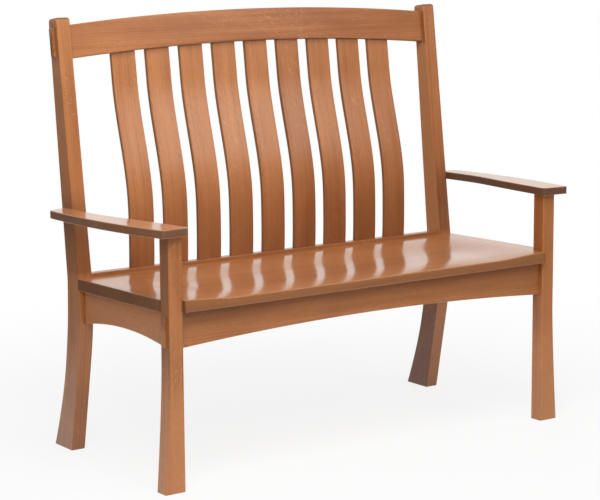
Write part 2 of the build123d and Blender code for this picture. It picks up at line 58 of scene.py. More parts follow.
def eased_outline(low_a, high_a, low_b, high_b, ease, inset=0.0):
    """Rectangles with rounded corners, one for each station along a piece.

    Every corner is its centre plus radius times (cos, sin) of equal steps through a quarter turn. One
    more point stands on the flat at either side of it, so that the flats shade flat. Where inset is
    above nothing the outline draws in, and its corners get smaller with it. Returns a, b, how far
    round a corner each point lies, as sin of twice the turn, and how squarely its side faces a.
    """
    sides = (low_a, high_a, low_b, high_b, ease, inset)
    rows = np.broadcast_arrays(*[np.asarray(side, float) for side in sides])
    low_a, high_a, low_b, high_b, ease, inset = [row[:, None] for row in rows]
    radius = np.maximum(ease - corner_shrink * inset, least_corner * ease)
    hold = flat_hold * ease
    out = np.hstack([radius, radius * np.cos(quarter_turn), -hold])
    up = np.hstack([-hold, radius * np.sin(quarter_turn), radius])
    facing = np.concatenate([[1], np.cos(quarter_turn) ** 2, [0]])
    a, b, facing_a = [], [], []
    for quarter, (side_a, side_b) in enumerate(((1, 1), (0, 1), (0, 0), (1, 0))):
        cos, sin = round(math.cos(quarter * math.pi / 2)), round(math.sin(quarter * math.pi / 2))
        centre_a = high_a - inset - radius if side_a else low_a + inset + radius
        centre_b = high_b - inset - radius if side_b else low_b + inset + radius
        a.append(centre_a + out * cos - up * sin)
        b.append(centre_b + out * sin + up * cos)
        facing_a.append(facing if cos else 1 - facing)
    rounding = np.tile(np.concatenate([[0], np.sin(2 * quarter_turn), [0]]), 4)
    return np.hstack(a), np.hstack(b), rounding, np.concatenate(facing_a)


def stations(start, stop, first_ease, last_ease, count):
    """Places along a piece, and how far each outline draws in where an end is rounded over.

    Within the ease of an end the distance is ease times (1 - cos) and the inset ease times (1 - sin).
    An ease of nothing leaves the end square.
    """
    near, drawn = 1 - np.cos(quarter_turn), 1 - np.sin(quarter_turn)
    places = [np.linspace(start + 2 * first_ease, stop - 2 * last_ease, count)]
    inset = [np.zeros(count)]
    if first_ease:
        places.insert(0, start + first_ease * near)
        inset.insert(0, first_ease * drawn)
    if last_ease:
        places.append(stop - last_ease * near[::-1])
        inset.append(last_ease * drawn[::-1])
    return np.concatenate(places), np.concatenate(inset)


sharp_angle = math.radians(40)


def skinned(name, stacks):
    """Closed skins: each stack of outlines is joined by strips of quads and capped at both ends."""
    corners, faces, first = [], [], 0
    for stack in stacks:
        count, around = stack.shape[:2]
        grid = first + np.arange(count * around).reshape(count, around)
        below, above = grid[:-1], grid[1:]
        strips = np.stack([below, np.roll(below, -1, 1), np.roll(above, -1, 1), above], -1)
        faces += strips.reshape(-1, 4).tolist() + [grid[0, ::-1].tolist(), grid[-1].tolist()]
        corners.append(stack.reshape(-1, 3))
        first += count * around
    mesh = bpy.data.meshes.new(name)
    mesh.from_pydata(np.concatenate(corners), [], faces)
    build = bmesh.new()
    build.from_mesh(mesh)
    bmesh.ops.recalc_face_normals(build, faces=build.faces)
    build.to_mesh(mesh)
    build.free()
    mesh.polygons.foreach_set("use_smooth", [len(face) == 4 for face in faces])
    mesh.set_sharp_from_angle(angle=sharp_angle)
    piece = bpy.data.objects.new(name, mesh)
    bpy.context.scene.collection.objects.link(piece)
    return piece


def sawn(name, points, wood, rounding, soaked_and_shaded=0.0, painted_shade=0.0, paleness_and_light=0.0, cut_ends=1.0):
    """One wooden piece that knows how its board grew, how its surface was worked, and the light and shade
    painted on it.

    wood holds each point's place in the board: along the grain, across it and through it. The points
    also keep how far round an eased edge they lie, and how much stain soaked in, which is most where the
    board was cut across the grain, with painted shade that darkens some faces and edges in the same way.
    They also keep the painted shade that darkens corners and parts that lie under other parts.
    paleness_and_light is how much lighter than the others this board grew, with painted light added
    where it is above nothing and painted shade where it is below. cut_ends is the soaking of both end
    faces, which is nothing where these lie along the grain.
    """
    piece = skinned(name, [points])
    soaked_and_shaded = np.broadcast_to(soaked_and_shaded, points.shape[:2]).astype(float)
    soaked_and_shaded[[0, -1]] = np.maximum(soaked_and_shaded[[0, -1]], cut_ends)
    marks_and_shade = np.stack(np.broadcast_arrays(rounding, soaked_and_shaded, painted_shade), -1)
    for label, values in (("wood", wood), ("marks_and_shade", marks_and_shade)):
        attribute = piece.data.attributes.new(label, "FLOAT_VECTOR", "POINT")
        attribute.data.foreach_set("vector", values.astype(np.float32).ravel())
    paleness_and_light = np.broadcast_to(paleness_and_light, soaked_and_shaded.shape)
    attribute = piece.data.attributes.new("paleness_and_light", "FLOAT", "POINT")
    attribute.data.foreach_set("value", paleness_and_light.astype(np.float32).ravel())
    return piece


def plug(tree, made, inputs):
    """Sets a shader node's inputs, each to a value or to another node's output."""
    for key, value in inputs.items():
        if isinstance(value, bpy.types.NodeSocket):
            tree.links.new(value, made.inputs[key])
        else:
            made.inputs[key].default_value = value


def node(tree, kind, inputs, **settings):
    """One shader node with its settings and its inputs."""
    made = tree.nodes.new("ShaderNode" + kind)
    for key, value in settings.items():
        setattr(made, key, value)
    plug(tree, made, inputs)
    return made


def grain_noise(tree, place, scale, detail=2.0, distortion=0.0):
    """Noise drawn out along the grain: scale is in waves a metre along, across and through the board."""
    drawn = node(tree, "Mapping", {"Vector": place, "Scale": scale}).outputs[0]
    settings = {"Vector": drawn, "Scale": 1.0, "Detail": detail, "Distortion": distortion}
    return node(tree, "TexNoise", settings).outputs["Fac"]


def between(tree, value, low, high):
    """A value taken from low to high and spread smoothly over 0 to 1."""
    inputs = {"Value": value, "From Min": low, "From Max": high}
    return node(tree, "MapRange", inputs, interpolation_type="SMOOTHSTEP").outputs[0]


def product(tree, first, second):
    """One value times another."""
    return node(tree, "Math", {0: first, 1: second}, operation="MULTIPLY").outputs[0]


def total(tree, base, *parts):
    """A base value with others added to it, each of them times its share."""
    for value, share in parts:
        base = node(tree, "Math", {0: value, 1: share, 2: base}, operation="MULTIPLY_ADD").outputs[0]
    return base


def blend(tree, share, first, second):
    """The first colour with a share of the second over it."""
    return node(tree, "Mix", {0: share, 6: first, 7: second}, data_type="RGBA").outputs[2]


def bumped(tree, height, strength, distance):
    """Which way the surface faces where a height stands up from it."""
    inputs = {"Height": height, "Strength": strength, "Distance": distance}
    return node(tree, "Bump", inputs).outputs[0]


def new_material(name):
    """A material, its shader tree and the main shader in it."""
    material = bpy.data.materials.new(name)
    material.use_nodes = True
    tree = material.node_tree
    return material, tree, tree.nodes["Principled BSDF"]


heart_place = (0, 0.31, 0.09)
ring_wander = 0.022
rings_per_metre = 300


def growth_rings(tree, place):
    """Bands of growth: noise of the distance from the tree's heart, which lies off the board's edge.

    The distance is taken across and through the board and wanders a little along it, so that faces
    show long lines and cut ends show arcs.
    """
    heart = node(tree, "Mapping", {"Vector": place, "Location": heart_place, "Scale": (0, 1, 1)})
    from_heart = node(tree, "VectorMath", {0: heart.outputs[0]}, operation="LENGTH").outputs["Value"]
    wander = grain_noise(tree, place, (1.4, 5, 5))
    rings = total(tree, 0, (from_heart, rings_per_metre), (wander, ring_wander * rings_per_metre))
    inputs = {"W": rings, "Scale": 1.0, "Detail": 3.0, "Roughness": 0.62}
    return node(tree, "TexNoise", inputs, noise_dimensions="1D").outputs["Fac"]


def open_pores(tree, place):
    """Short fine lines along the grain, where the saw opened the oak's vessels."""
    return between(tree, grain_noise(tree, place, (45, 1300, 1300), 1.0), 0.56, 0.72)


ray_slant = math.radians(34)


def ray_flecks(tree, place):
    """Pale flakes of the oak's rays: slanting noise cut off high, and kept to some parts of a board."""
    slanted = node(tree, "Mapping", {"Vector": place, "Rotation": (0, 0, ray_slant)}).outputs[0]
    flakes = between(tree, grain_noise(tree, slanted, (55, 290, 90), 2.5, 1.4), 0.55, 0.68)
    where = between(tree, grain_noise(tree, place, (5, 14, 14)), 0.46, 0.66)
    return product(tree, flakes, where)


deep_stain = (0.296, 0.092, 0.024, 1)
pale_stain = (0.532, 0.205, 0.068, 1)
pore_stain = (0.15, 0.042, 0.012, 1)
ray_tone = (0.68, 0.34, 0.15, 1)
rubbed_tone = (0.62, 0.27, 0.105, 1)
painted_shade_colour = (0.13, 0.038, 0.01, 1)
# The dark of soaked end grain, and of painted shade on faces and edges.
soaked_and_shade_colour = (0.078, 0.044, 0.029, 1)


def stained_oak(name, coat_weight, coat_roughness, gloss, dulled):
    """Quarter-sawn oak with a cherry-brown stain under varnish, for pieces that hold their own wood.

    The tone goes from deep to pale with the board, its clouds, streaks and rings, and with the painted
    light and shade that each piece carries. The marks lie over it, each with its own strength, painted
    shade among them. Soaked wood and painted shade on faces both darken and take less of the coat, by
    the share dulled.
    """
    material, tree, shader = new_material(name)
    place = node(tree, "Attribute", {}, attribute_name="wood").outputs["Vector"]
    marks_and_shade = node(tree, "Attribute", {}, attribute_name="marks_and_shade").outputs["Vector"]
    paleness_and_light = node(tree, "Attribute", {}, attribute_name="paleness_and_light").outputs["Fac"]
    rubbed, soaked_and_shaded, painted_shade = node(tree, "SeparateXYZ", {0: marks_and_shade}).outputs
    rings = growth_rings(tree, place)
    pores = open_pores(tree, place)
    board = grain_noise(tree, place, (0.3, 0.3, 0.3), 0.0)
    clouds = grain_noise(tree, place, (3.5, 17, 17), 3.0)
    streaks = grain_noise(tree, place, (1.2, 70, 70), 2.0)
    # Each board's own paleness, with painted light and painted shade added to it on some pieces.
    tone = total(tree, 0, (board, 0.114), (clouds, 0.3572), (streaks, 0.2888), (rings, 0.24), (paleness_and_light, 1))
    colour = blend(tree, between(tree, tone, 0.28, 0.72), deep_stain, pale_stain)
    # The last two marks are painted shade, and soaked end grain together with painted shade on faces.
    marks = (
        (pores, 0.34, pore_stain),
        (ray_flecks(tree, place), 0.45, ray_tone),
        (rubbed, 0.12, rubbed_tone),
        (painted_shade, 0.45, painted_shade_colour),
        (soaked_and_shaded, 0.72, soaked_and_shade_colour),
    )
    for mark, strength, mark_colour in marks:
        colour = blend(tree, product(tree, mark, strength), colour, mark_colour)
    relief = total(tree, 0, (rings, 0.35), (pores, -1))
    ripple = grain_noise(tree, place, (12, 40, 40), 2.0)
    finish = {
        "Base Color": colour,
        "Roughness": total(tree, 0.36, (clouds, 0.16)),
        "Normal": bumped(tree, relief, 0.35, 0.0003),
        "Specular IOR Level": gloss,
        "Coat Weight": total(tree, coat_weight, (soaked_and_shaded, -dulled * coat_weight)),
        "Coat Roughness": coat_roughness,
        "Coat Normal": bumped(tree, ripple, 0.2, 0.0006),
    }
    plug(tree, shader, finish)
    return material


def finished(piece, material, slot, *nodes):
    """Gives a piece its finish and lets it stand for the nodes of the frame that it covers."""
    piece.data.materials.append(material)
    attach(piece, "root")
    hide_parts(*nodes)


board_shift = np.array([2.3, 0.07, 0.05])


def from_board(number, along, across, through):
    """A point's place in its board. Each board is taken from another part of the tree."""
    shift = board_shift * (number, number % 5, number % 3)
    return np.stack(np.broadcast_arrays(along, across, through), -1) + shift


frame_oak = stained_oak("stained oak, frame", coat_weight=0.9, coat_roughness=0.28, gloss=0.15, dulled=0.75)
hands = {"left": -1, "right": 1}

leg_low, leg_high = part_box("front_leg_right")
leg_inner = leg_low.x
leg_size = leg_high.y - leg_low.y
half_width = leg_inner + leg_size
leg_ease = 0.0016
leg_flare = 0.0176
leg_knee = 0.33
leg_bend = 0.23
leg_tenon_size = 0.024
leg_tenon_height = 0.012
leg_steps = 60
seat_level = 0.457
# Painted shade darkens the legs' sides from some height up, the left leg's most, from low down to its
# arm, and painted light makes the feet paler. On the right leg the front is painted lighter and the
# sides darker. Each change runs over the same length.
light_and_shade_run = 0.1
leg_painted_shade_from = {"left": 0.25, "right": seat_level}
leg_painted_shade = {"left": 1.05, "right": 0.1}
leg_painted_light_below = 0.28
leg_foot_painted_light = 0.16
leg_front_painted_light = {"left": 0, "right": 0.07}
leg_side_painted_light = {"left": 0, "right": -0.035}
arm_fall = math.tan(math.radians(0.81))


def leg_outer_side(height):
    """The outer side's reach: flare times t squared below the knee.

    t is found from height = knee (1 - t) squared + 2 bend t (1 - t).
    """
    draw, droop = leg_knee - leg_bend, 2 * leg_bend - leg_knee
    below = np.clip(leg_knee - height, 0, None)
    t = (np.sqrt(draw**2 + droop * below) - draw) / droop
    return half_width + leg_flare * t**2


def smooth_step(share):
    """3 share squared - 2 share cubed, held between 0 and 1."""
    share = np.clip(share, 0, 1)
    return share * share * (3 - 2 * share)


def ramp(first, last, share):
    """A value that goes from the first to the last as the share goes from 0 to 1."""
    return first + (last - first) * share


def front_leg(side, number):
    """Level outlines from the foot up, then the tenon's, which stands on the leg's sloping top."""
    top = leg_high.z - leg_tenon_height
    height, inset = stations(0, top, leg_ease, 0, leg_steps)
    height, inset = np.append(height, [top, leg_high.z]), np.append(inset, [0, 0])
    shoulder = np.zeros(len(height))
    shoulder[-2:] = (leg_size - leg_tenon_size) / 2
    outer = np.where(shoulder > 0, half_width, leg_outer_side(height)) - shoulder
    front, rear = leg_low.y + shoulder, leg_high.y - shoulder
    x, y, rounding, cheek = eased_outline(leg_inner + shoulder, outer, front, rear, leg_ease, inset)
    height = height[:, None]
    z = height - arm_fall * (y - leg_low.y) * (height >= top)
    points = np.stack([hands[side] * x, y, z], -1)
    wood = from_board(number, z, x - half_width, y - leg_low.y)
    # Painted shade on the sides from some height up, painted light at the feet, and painted light and shade
    # by face.
    painted_shade = leg_painted_shade[side] * cheek * smooth_step((z - leg_painted_shade_from[side]) / light_and_shade_run)
    foot = leg_foot_painted_light * smooth_step((leg_painted_light_below - z) / light_and_shade_run)
    paleness_and_light = foot + ramp(leg_front_painted_light[side], leg_side_painted_light[side], cheek)
    return sawn(f"leg_{side}", points, wood, rounding, 0, painted_shade, paleness_and_light)


for number, side in enumerate(hands):
    finished(front_leg(side, number), frame_oak, "oak", f"front_leg_{side}")

# Rear posts
# Each is sawn in one piece from 38 mm oak: it leans back above the seat and sweeps back below it.
# The crest rail is let right through its top, where all the corners are rounded over.

post_ease = 0.0016
post_top_ease = 0.007
post_steps = 110
post_knee_front = leg_low.y + 0.4273
post_knee_height = seat_level
post_knee_width = 0.0594
post_top_width = 0.0395
post_length = 0.6423
post_front_sweep = 0.0582
post_rear_sweep = 0.0863
post_foot_front_slope = -0.21
post_foot_rear_slope = -0.4
lean = math.radians(7.35)
# Height as a share of the knee's and sweep as a share of the foot's, as the sawyer's pattern has them
front_pattern_share = np.array(
    [(0, 1), (0.23, 0.648), (0.492, 0.253), (0.724, -0.022), (0.853, -0.057), (1, 0)]
)
rear_pattern_share = np.array(
    [(0, 1), (0.186, 0.637), (0.383, 0.328), (0.573, 0.14), (0.757, 0.027), (0.875, 0), (1, 0)]
)
# Painted light and shade on each post. A pair holds the values of its front and rear and of its two
# sides: painted shade below the arm, beside the crest and on some faces, where it also dulls the coat,
# and paleness that is painted light where it is above nothing and painted shade where it is below.
post_painted_shade_below_arm = {"left": (1.15, 0.75), "right": (0.2, 0)}
post_painted_shade_by_crest = {"left": 0.5, "right": 1.2}
post_painted_face_shade = {"left": (0, 0.14), "right": (0.42, 0.1)}
post_upper_painted_light = {"left": (0, 0.06), "right": (-0.02, 0.3)}
post_lower_painted_light = {"left": (0, 0.06), "right": (0.27, -0.2)}
post_top_painted_light = {"left": 0.06, "right": 0}
post_foot_painted_light = {"left": -0.1, "right": 0}
# Heights where that changes, and the short run of a change at a joint
post_painted_shade_top = 0.69
post_sides_painted_shade_from = {"left": 0.8, "right": seat_level - light_and_shade_run}
post_top_painted_light_from = 0.88
post_foot_painted_shade_below = 0.22
crest_joint_low = 0.982
crest_joint_high = 1.082
joint_run = 0.01
# The rounded top is cut across the grain, and soaked through where it draws in by this share of its ease
post_top_soak_share = 0.3


def bent(at, knots, values, first_slope, last_slope):
    """A smooth curve through a few knots, and straight on past the first and the last.

    It is the cubic spline: the slopes at the knots are those that leave no step in its bending.
    """
    step = np.diff(knots)
    rise = np.diff(values) / step
    matrix = np.eye(len(knots))
    right = np.empty(len(knots))
    right[0], right[-1] = first_slope, last_slope
    for i in range(1, len(knots) - 1):
        matrix[i, i - 1 : i + 2] = step[i], 2 * (step[i - 1] + step[i]), step[i - 1]
        right[i] = 3 * (step[i] * rise[i - 1] + step[i - 1] * rise[i])
    slope = np.linalg.solve(matrix, right)
    i = np.clip(np.searchsorted(knots, at) - 1, 0, len(step) - 1)
    t = np.clip((at - knots[i]) / step[i], 0, 1)
    curve = (
        values[i] * (1 + 2 * t) * (1 - t) ** 2
        + values[i + 1] * t * t * (3 - 2 * t)
        + step[i] * (slope[i] * t * (1 - t) ** 2 - slope[i + 1] * t * t * (1 - t))
    )
    before = np.minimum(at - knots[0], 0) * first_slope
    after = np.maximum(at - knots[-1], 0) * last_slope
    return curve + before + after


def post_front(height):
    """The posts' front edge: straight along the lean above the seat, and swept back below it."""
    knots = front_pattern_share[:, 0] * post_knee_height
    values = post_knee_front + front_pattern_share[:, 1] * post_front_sweep
    return bent(height, knots, values, post_foot_front_slope, math.tan(lean))


def post_rear(height):
    """The posts' rear edge: straight from the knee to the narrower top, and swept back below."""
    knots = rear_pattern_share[:, 0] * post_knee_height
    values = post_knee_front + post_knee_width + rear_pattern_share[:, 1] * post_rear_sweep
    back = post_length * math.sin(lean) + post_top_width * math.cos(lean) - post_knee_width
    up = post_length * math.cos(lean) - post_top_width * math.sin(lean)
    return bent(height, knots, values, post_foot_rear_slope, back / up)


def rear_post(side, number):
    """Outlines that lie level at the foot and turn square to the lean on the way up to the top."""
    top = post_knee_height + post_length * math.cos(lean)
    height, inset = stations(0, top, post_ease, post_top_ease, post_steps)
    front, rear = post_front(height), post_rear(height)
    x, y, rounding, cheek = eased_outline(leg_inner, half_width, front, rear, post_ease, inset)
    height, front, rear = height[:, None], front[:, None], rear[:, None]
    tilt = np.clip((height - post_knee_height) / (top - post_knee_height), 0, 1) * math.tan(lean)
    z = height - (y - front) * tilt
    y = y + (post_rear(z) - rear) * (y - front) / (rear - front)
    points = np.stack([hands[side] * x, y, z], -1)
    wood = from_board(number, z, y - front, x - leg_inner)

    # Painted shade below the arm, beside the crest and on some faces, and painted light and shade by face,
    # at the top and at the foot. The rounded top's end grain soaks up real stain.
    below_seat = smooth_step((seat_level - z) / light_and_shade_run)
    below_arm = smooth_step((post_painted_shade_top - z) / light_and_shade_run) * smooth_step((z - seat_level) / joint_run)
    by_crest = smooth_step((z - crest_joint_low) / joint_run)
    by_crest = by_crest * smooth_step((crest_joint_high - z) / joint_run)
    painted_shade = ramp(*post_painted_shade_below_arm[side], cheek) * below_arm
    painted_shade = painted_shade + post_painted_shade_by_crest[side] * cheek * by_crest
    front_shade, side_shade = post_painted_face_shade[side]
    side_shade = side_shade * smooth_step((z - post_sides_painted_shade_from[side]) / light_and_shade_run)
    soaked_and_shaded = np.minimum(inset / (post_top_soak_share * post_top_ease), 1)[:, None]
    soaked_and_shaded = np.maximum(soaked_and_shaded, ramp(front_shade * below_arm, side_shade, cheek))
    upper, lower = ramp(*post_upper_painted_light[side], cheek), ramp(*post_lower_painted_light[side], cheek)
    paleness_and_light = ramp(upper, lower, below_seat)
    paleness_and_light = paleness_and_light + post_top_painted_light[side] * smooth_step((z - post_top_painted_light_from) / light_and_shade_run)
    paleness_and_light = paleness_and_light + post_foot_painted_light[side] * smooth_step((post_foot_painted_shade_below - z) / light_and_shade_run)
    return sawn(f"post_{side}", points, wood, rounding, soaked_and_shaded, painted_shade, paleness_and_light)


for number, side in enumerate(hands, start=2):
    finished(rear_post(side, number), frame_oak, "oak", f"rear_post_{side}")

# Front apron
# A 20 mm board with an arch sawn in its lower edge, set 12 mm behind the legs' faces. Its tenons go
# right through the legs and stand 6.5 mm proud, with their ends chamfered all round.

apron_front = leg_low.y + 0.012
apron_thickness = 0.02
apron_end_height = 0.343
apron_rise = 0.021
apron_steps = 81
apron_tenon_front = leg_low.y + 0.014
apron_tenon_thickness = 0.013
apron_tenon_low = 0.349
apron_tenon_high = 0.422
apron_board = 4
apron_paleness = 0.06
apron_painted_shade_depth = 0.021
tenon_reach = half_width + 0.0065
tenon_chamfer = 0.0015
tenon_ease = 0.0006
tenon_end_soaked = 0.3
seat_front = leg_low.y - 0.01
seat_thickness = 0.026
seat_fall = math.radians(1.07)


def seat_underside(depth):
    """Height of the seat's underside, which falls a little to the rear."""
    return seat_level - seat_thickness / math.cos(seat_fall) - (depth - seat_front) * math.tan(seat_fall)


def board_rows(place, low_a, high_a, low_b, high_b, ease):
    """Rows of place, four sides, ease and an inset of nothing, for the outlines along a board."""
    return np.array(np.broadcast_arrays(place, low_a, high_a, low_b, high_b, ease, 0.0))


def tenoned(body, tenon_sides, reach, chamfer):
    """A board's rows with those of a tenon added at both ends.

    The tenon starts from a shoulder at the body's last place, and its end draws in by the chamfer.
    """
    shoulder = body[0, -1]
    places = np.array([shoulder, shoulder + 2 * tenon_ease, reach - chamfer, reach])
    right = board_rows(places, *tenon_sides, tenon_ease)
    right[-1, -1] = chamfer
    left = right[:, ::-1].copy()
    left[0] *= -1
    return np.hstack([left, body, right])


def front_apron():
    """Outlines across the settle whose lower side follows end height + rise (1 - share squared).

    Painted shade darkens the top, under the seat's overhanging edge, and the rubbed edge is left off there.
    """
    place = np.linspace(-leg_inner, leg_inner, apron_steps)
    arch = apron_end_height + apron_rise * (1 - (place / leg_inner) ** 2)
    top = seat_underside(apron_front)
    body = board_rows(place, apron_front, apron_front + apron_thickness, arch, top, leg_ease)
    tenon_rear = apron_tenon_front + apron_tenon_thickness
    tenon = (apron_tenon_front, tenon_rear, apron_tenon_low, apron_tenon_high)
    rows = tenoned(body, tenon, tenon_reach, tenon_chamfer)
    y, z, rounding, _ = eased_outline(*rows[1:])
    x = np.broadcast_to(rows[0][:, None], y.shape)
    points, wood = np.stack([x, y, z], -1), from_board(apron_board, x, z, y)
    # Painted shade under the seat's overhanging edge.
    painted_shade = smooth_step(1 - (top - z) / apron_painted_shade_depth)
    rounding = rounding * (top - z > apron_painted_shade_depth)
    return sawn("apron", points, wood, rounding, 0, painted_shade, apron_paleness, tenon_end_soaked)


finished(front_apron(), frame_oak, "oak", "front_apron")

# Side rails
# Short 20 mm boards between leg and post, arched below, with blind tenons. The rear end is scribed
# to the post's curved front edge, and the top edge follows the fall of the seat.

rail_setback = 0.012
rail_thickness = 0.02
rail_steps = 41
# The rails are painted lighter, as a stand-in for the light that the floor throws up on them.
rail_painted_light = 0.33
# Places behind the legs' front, and the height of the lower edge there
rail_arch_places = (0.038, 0.212, 0.4333)
rail_arch_heights = (0.3435, 0.3588, 0.335)


def side_rail(side, number):
    """Outlines from leg to post, the last of them moved back to meet the post's curve.

    The lower edge is the parabola through three heights.
    """
    start = leg_high.y
    length = post_knee_front - start
    share = np.linspace(0, 1, rail_steps)
    arch = np.polyfit(rail_arch_places, rail_arch_heights, 2)
    low_z = np.polyval(arch, start - leg_low.y + share * length)
    high_z = seat_underside(start + share * length)
    outer = half_width - rail_setback
    x, z, rounding, _ = eased_outline(outer - rail_thickness, outer, low_z, high_z, leg_ease)
    y = start + share[:, None] * (post_front(z) - start)
    points = np.stack([hands[side] * x, y, z], -1)
    # The rails carry painted light.
    return sawn(f"rail_{side}", points, from_board(number, y, z, x), rounding, paleness_and_light=rail_painted_light)


for number, side in enumerate(hands, start=apron_board + 1):
    finished(side_rail(side, number), frame_oak, "oak", f"side_rail_{side}")

# Back rail
# A 24 mm board between the posts at the rear of the seat. Its top edge stands a little above the seat
# and is mortised for the slats' feet, and its blind tenons go into the posts.

back_rail_low, back_rail_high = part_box("back_rail")
back_rail_tenon_inset = 0.006
back_rail_tenon_low = 0.3763
back_rail_tenon_high = 0.4473
back_rail_steps = 25
back_rail_board = 7
# Painted shade darkens the whole rail, which stands low between the seat and the slats' feet.
back_rail_painted_shade = 0.45


def back_rail():
    """One long outline from post to post, with a thinner tenon beyond each shoulder."""
    place = np.linspace(-leg_inner, leg_inner, back_rail_steps)
    low, high = back_rail_low, back_rail_high
    body = board_rows(place, low.y, high.y, low.z, high.z, leg_ease)
    tenon_front, tenon_rear = low.y + back_rail_tenon_inset, high.y - back_rail_tenon_inset
    rows = tenoned(body, (tenon_front, tenon_rear, back_rail_tenon_low, back_rail_tenon_high), high.x, 0)
    y, z, rounding, _ = eased_outline(*rows[1:])
    x = np.broadcast_to(rows[0][:, None], y.shape)
    points, wood = np.stack([x, y, z], -1), from_board(back_rail_board, x, z, y)
    # Painted shade over the whole rail.
    return sawn("rear_rail", points, wood, rounding, 0, back_rail_painted_shade)


finished(back_rail(), frame_oak, "oak", "back_rail")

# Back slats
# Nine 12 mm slats, steamed and bent forward at the small of the back. Each has a tenon in the back
# rail and another in the crest, and its top shoulder is scribed to the crest's arch.

slat_count = 9
slat_pitch = 0.1011
slat_width = 0.0695
slat_thickness = 0.012
slat_ease = 0.0022
slat_steps = 73
slat_tenon_width = 0.056
slat_tenon_thickness = 0.007
slat_tenon_length = 0.016
slat_setback = 0.018
slat_foot_slope = -0.06
# Heights up a slat, and how far behind the posts' front line its face stands there
slat_heights = np.array([back_rail_high.z, 0.56, 0.645, 0.79, 0.925])
slat_setbacks = np.array([0.0105, -0.004, -0.011, 0.004, slat_setback])
# The narrow edges are darker. Painted shade darkens each slat near its foot and under the crest, and
# less of it falls on the edges. Each slat grew with a paleness of its own.
slat_edge_darkening = 0.52
slat_foot_painted_shade_length = 0.26
slat_top_painted_shade_length = 0.02
slat_edge_less_shade_share = 0.7
slat_paleness = (0.05, 0.1, 0.06, 0.08, 0.02, 0, 0.01, 0.04, 0.02)
crest_foot = 0.54
crest_rise = 0.0248


def slat_face(height):
    """Depth of a slat's front face: the bend, and straight along the lean above it."""
    line = post_knee_front + (slat_heights - post_knee_height) * math.tan(lean)
    return bent(height, slat_heights, line + slat_setbacks, slat_foot_slope, math.tan(lean))


def crest_underside(across):
    """How far up the lean the crest's lower edge runs: foot + rise (1 - share squared)."""
    return crest_foot + crest_rise * (1 - (across / leg_inner) ** 2)


def back_slat(number):
    """Outlines of a slat's width and thickness, stretched so that the last lies on the crest's arch."""
    middle = (number - (slat_count + 1) / 2) * slat_pitch
    share = np.concatenate([[0, 0], np.linspace(0, 1, slat_steps), [1, 1]])
    beyond = np.zeros(len(share))
    beyond[0], beyond[-1] = -slat_tenon_length, slat_tenon_length
    tenon = np.zeros(len(share), bool)
    tenon[[0, 1, -2, -1]] = True
    half = np.where(tenon, slat_tenon_width, slat_width) / 2
    front = np.where(tenon, (slat_thickness - slat_tenon_thickness) / 2, 0)
    ease = np.where(tenon, tenon_ease, slat_ease)
    rear = slat_thickness - front
    x, into, rounding, edge = eased_outline(middle - half, middle + half, front, rear, ease)
    shoulder = post_knee_height + crest_underside(x) * math.cos(lean)
    shoulder = shoulder - (slat_setback + into) * math.sin(lean)
    foot = back_rail_high.z
    z = foot + share[:, None] * (shoulder - foot) + beyond[:, None]
    y = slat_face(z) + into
    points = np.stack([x, y, z], -1)
    wood = from_board(back_rail_board + number, z, x - middle, into)
    # Painted shade near the foot and under the crest, less of it on the edges. The edges are darker.
    at_foot = smooth_step(1 - (z - foot) / slat_foot_painted_shade_length)
    at_top = smooth_step(1 - (shoulder - z) / slat_top_painted_shade_length)
    painted_shade = (at_foot + at_top) * (1 - slat_edge_less_shade_share * edge)
    paleness_and_light = slat_paleness[number - 1]
    return sawn(f"slat_{number}", points, wood, rounding, slat_edge_darkening * edge, painted_shade, paleness_and_light)


for number in range(1, slat_count + 1):
    finished(back_slat(number), frame_oak, "oak", f"back_slat_{number}")

# Crest rail
# An arched 22 mm board that lies along the lean of the back, 12 mm behind the posts' front edges.
# Its tenons go right through the posts and stand proud like the apron's.

crest_height = 0.084
crest_setback = 0.012
crest_thickness = 0.022
crest_ease = 0.002
crest_steps = 97
crest_tenon_low = 0.547
crest_tenon_high = 0.618
crest_tenon_setback = 0.0145
crest_tenon_thickness = 0.017
crest_board = 17
# Places across the crest from left to right, and the painted shade there, as paleness: the middle and
# the right are painted darker than the left.
crest_shade_places = (-0.4, -0.1, 0.1, 0.4)
crest_painted_shade = (0, -0.09, -0.09, -0.05)


def crest_rail():
    """Outlines square to the settle, in the leaning plane of the back."""
    place = np.linspace(-leg_inner, leg_inner, crest_steps)
    lower = crest_underside(place)
    rear = crest_setback + crest_thickness
    body = board_rows(place, crest_setback, rear, lower, lower + crest_height, crest_ease)
    tenon_rear = crest_tenon_setback + crest_tenon_thickness
    tenon = (crest_tenon_setback, tenon_rear, crest_tenon_low, crest_tenon_high)
    rows = tenoned(body, tenon, tenon_reach, tenon_chamfer)
    behind, up, rounding, _ = eased_outline(*rows[1:])
    x = np.broadcast_to(rows[0][:, None], up.shape)
    y = post_knee_front + up * math.sin(lean) + behind * math.cos(lean)
    z = post_knee_height + up * math.cos(lean) - behind * math.sin(lean)
    points, wood = np.stack([x, y, z], -1), from_board(crest_board, x, up, behind)
    # Painted shade darkens the middle and the right.
    paleness_and_light = np.interp(x, crest_shade_places, crest_painted_shade)
    return sawn("crest", points, wood, rounding, 0, 0, paleness_and_light, tenon_end_soaked)


finished(crest_rail(), frame_oak, "oak", "crest_rail")

# Seat
# Four boards glued edge to edge and scooped by 10 mm. The scoop is deepest in the middle, rolls over
# at the front edge, and runs out near the ends and at the back. The ends are notched round the legs
# and the posts.

seat_half = half_width + 0.002
seat_gap = 0.0003
seat_boards = 4
seat_board_depth = 0.11
seat_front_ease = 0.0026
seat_edge_ease = 0.0018
# How far the top stands above the level that the underside is set from
seat_swell = 0.0035
seat_steps = 21
seat_top_points = 120
scoop_depth = 0.0105
scoop_flat_half = 0.4
scoop_end_half = 0.556
